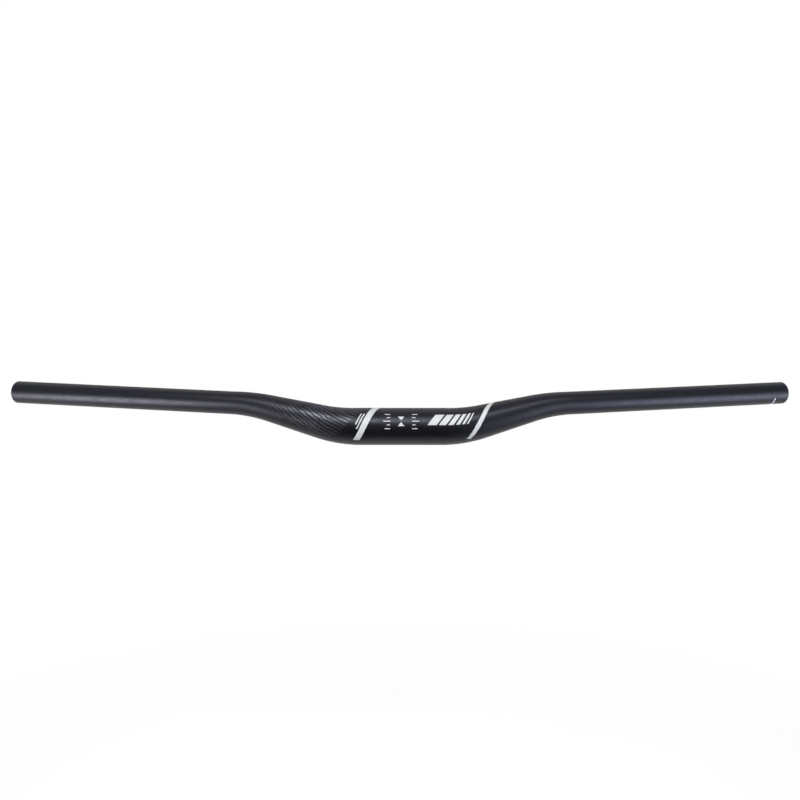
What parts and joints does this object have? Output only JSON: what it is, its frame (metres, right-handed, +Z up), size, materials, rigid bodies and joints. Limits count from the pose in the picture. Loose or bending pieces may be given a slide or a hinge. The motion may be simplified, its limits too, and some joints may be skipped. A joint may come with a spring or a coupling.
{
  "type": "riser handlebar",
  "caption": "Bicycle riser handlebar: a hollow black alloy tube, thick and straight at the stem clamp, tapering up and back through smooth bends to slim straight grip ends.",
  "frame": {"origin": "centre of the stem clamp, on the clamp's axis", "axes": "+X along the clamp's axis to the right-hand end as seen from the front, +Y back towards the rider, +Z up, with the bar turned in its stem as the picture shows it"},
  "size_m": [0.7838, 0.0869, 0.061],
  "materials": {
    "bar_paint": "satin black paint over aluminium alloy, with white printed marks"
  },
  "bodies": {
    "root": {"handlebar": "bar_paint"}
  },
  "joints": []
}
